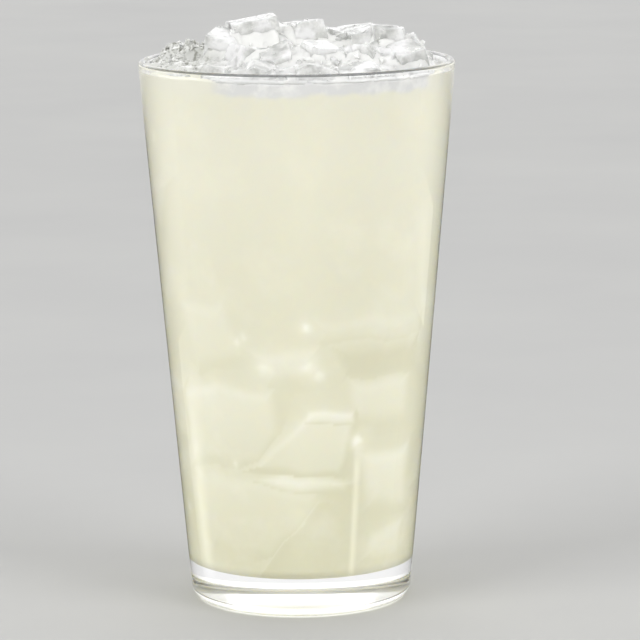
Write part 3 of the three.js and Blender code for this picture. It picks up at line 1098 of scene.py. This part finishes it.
def make_light(name, place, size, power):
    """Soft rectangular light, aimed at the glass."""
    data = bpy.data.lights.new(name, "AREA")
    data.shape = "RECTANGLE"
    data.size, data.size_y = size
    data.energy = power
    light = bpy.data.objects.new(name, data)
    bpy.context.scene.collection.objects.link(light)
    aimed(light, place, LIGHTS_AIM)


def card_material():
    """Glow held in the mesh of a strip or card, with nothing reflected."""
    material, tree, shader = new_material("card_glow")
    shader.inputs["Base Color"].default_value = (0.0, 0.0, 0.0, 1.0)
    shader.inputs["Specular IOR Level"].default_value = 0.0
    shader.inputs["Emission Color"].default_value = (1.0, 1.0, 1.0, 1.0)
    tree.links.new(attribute_node(tree, "glow"), shader.inputs["Emission Strength"])
    material.cycles.emission_sampling = "NONE"
    return material


def bell(share):
    """Profile of a light strip: full in the middle, none at both sides."""
    return math.sin(math.pi * share) ** 2


def one_sided(share):
    """Profile of a dark card: full at its first side, none at its last."""
    return 1.0 - float(smooth_step(share, 0.5, 1.0))


def hide_from_view(obj):
    """Leaves an object out of the direct view, the soft light and the shadows."""
    obj.visible_camera = False
    obj.visible_diffuse = False
    obj.visible_shadow = False


def make_strip(name, material, sides, reach, fade, strength, profile=bell):
    """Strip on the floor that shows, in reflections only, as a soft band down the wall of the glass.

    The band lies between two angles right of the front, in degrees. Each line of the strip runs from
    the wall along the mirrored line of sight between two distances, and fades into the floor's own
    brightness over a share of it at each end.
    """
    vertices, faces, glow = [], [], []
    height = STRIP_HEIGHT if profile is bell else CARD_HEIGHT
    for share in np.linspace(0.0, 1.0, STRIP_LINES + 1):
        angle = math.radians(sides[0] + (sides[1] - sides[0]) * share)
        for along in np.linspace(0.0, 1.0, STRIP_ROWS + 1):
            distance = reach[0] * (reach[1] / reach[0]) ** along
            x = STRIP_RADIUS * math.sin(angle) + distance * math.sin(2 * angle)
            y = -STRIP_RADIUS * math.cos(angle) - distance * math.cos(2 * angle)
            vertices.append((x, y, height))
            amount = profile(share) * smooth_step(min(along, 1.0 - along), 0.0, fade)
            glow.append(FLOOR_GLOW + (strength - FLOOR_GLOW) * amount)
    for line in range(STRIP_LINES):
        for row in range(STRIP_ROWS):
            first = line * (STRIP_ROWS + 1) + row
            second = first + STRIP_ROWS + 1
            faces.append((first, first + 1, second + 1, second))
    strip = mesh_object(name, vertices, faces, smooth=False)
    hold(strip, "glow", glow)
    strip.data.materials.append(material)
    hide_from_view(strip)
    strip.visible_transmission = False


def level_sheet(name, left, right, near, far, height):
    """Level rectangle of one face."""
    corners = [(left, near), (right, near), (right, far), (left, far)]
    return mesh_object(name, [(x, y, height) for x, y in corners], [(0, 1, 2, 3)], smooth=False)


def make_back_card(material):
    """White card on the floor behind, that shows only through the glass."""
    half = BACK_CARD_HALF_WIDTH
    card = level_sheet("back_card", -half, half, BACK_CARD_NEAR, BACK_CARD_FAR, CARD_HEIGHT)
    hold(card, "glow", [BACK_CARD_GLOW] * len(card.data.vertices))
    card.data.materials.append(material)
    hide_from_view(card)
    card.visible_glossy = False


def make_surround():
    """Even surround, brighter low down behind the glass."""
    world = bpy.data.worlds.new("surround")
    world.use_nodes = True
    tree = world.node_tree
    direction = tree.nodes.new("ShaderNodeSeparateXYZ")
    tree.links.new(tree.nodes.new("ShaderNodeTexCoord").outputs["Generated"], direction.inputs["Vector"])
    behind = range_node(tree, direction.outputs["Y"], -0.1, 0.6, 0.0, 1.0)
    low = range_node(tree, direction.outputs["Z"], 0.6, 0.42, 0.0, 1.0)
    glow = mix_node(tree, product_node(tree, behind, low), SURROUND, SURROUND_BEHIND)
    tree.links.new(glow, tree.nodes["Background"].inputs["Color"])
    bpy.context.scene.world = world


def make_studio():
    """Pale floor, soft lights, and strips and cards for the reflections in the glass."""
    half = FLOOR_HALF_SIDE
    floor = level_sheet("floor", -half, half, -half, half, FLOOR_LEVEL)
    floor.data.materials.append(floor_material())
    make_light("left_light", place=(-2.13, -1.5, 1.25), size=(1.6, 1.6), power=36.3)
    make_light("right_light", place=(2.13, -1.5, 1.25), size=(1.6, 1.6), power=35.0)
    make_light("back_light", place=(0.0, 2.4, 1.5), size=(3.0, 1.6), power=17.0)
    make_light("top_light", place=(0.2, 0.3, 2.6), size=(1.6, 1.6), power=6.0)
    glow = card_material()
    dark = {"reach": (0.005, 1.2), "fade": 0.05, "strength": 0.0, "profile": one_sided}
    make_strip("left_card", glow, sides=(-89, -52), **dark)
    make_strip("right_card", glow, sides=(89, 52), **dark)
    make_strip("left_strip", glow, sides=(-65, -50), reach=(0.012, 0.3), fade=0.4, strength=2.2)
    make_strip("right_strip", glow, sides=(54, 68), reach=(0.33, 0.55), fade=0.35, strength=0.95)
    make_strip("thin_strip", glow, sides=(25, 31), reach=(0.02, 0.128), fade=0.1, strength=3.6)
    make_back_card(glow)
    make_surround()
    bpy.context.scene.view_settings.view_transform = "Standard"


def make_camera():
    """Camera at the photograph's place, angle and focal length."""
    data = bpy.data.cameras.new("camera")
    data.sensor_width = SENSOR_WIDTH
    data.lens = FOCAL_PIXELS / FRAME_PIXELS * SENSOR_WIDTH
    data.clip_start = CAMERA_NEAREST
    camera = bpy.data.objects.new("camera", data)
    bpy.context.scene.collection.objects.link(camera)
    look = (CAMERA_AIM - CAMERA_AT).to_track_quat("-Z", "Y").to_matrix()
    turn = look @ Matrix.Rotation(CAMERA_ROLL, 3, "Z")
    camera.matrix_world = Matrix.Translation(CAMERA_AT) @ turn.to_4x4()
    bpy.context.scene.camera = camera


noise.seed_set(NOISE_SEED)
make_glass()
make_drink()
broken_ice = ice_material()
for node_name in ICE_NODES:
    make_ice(node_name, broken_ice)
make_crushed_ice(broken_ice)
make_studio()
make_camera()
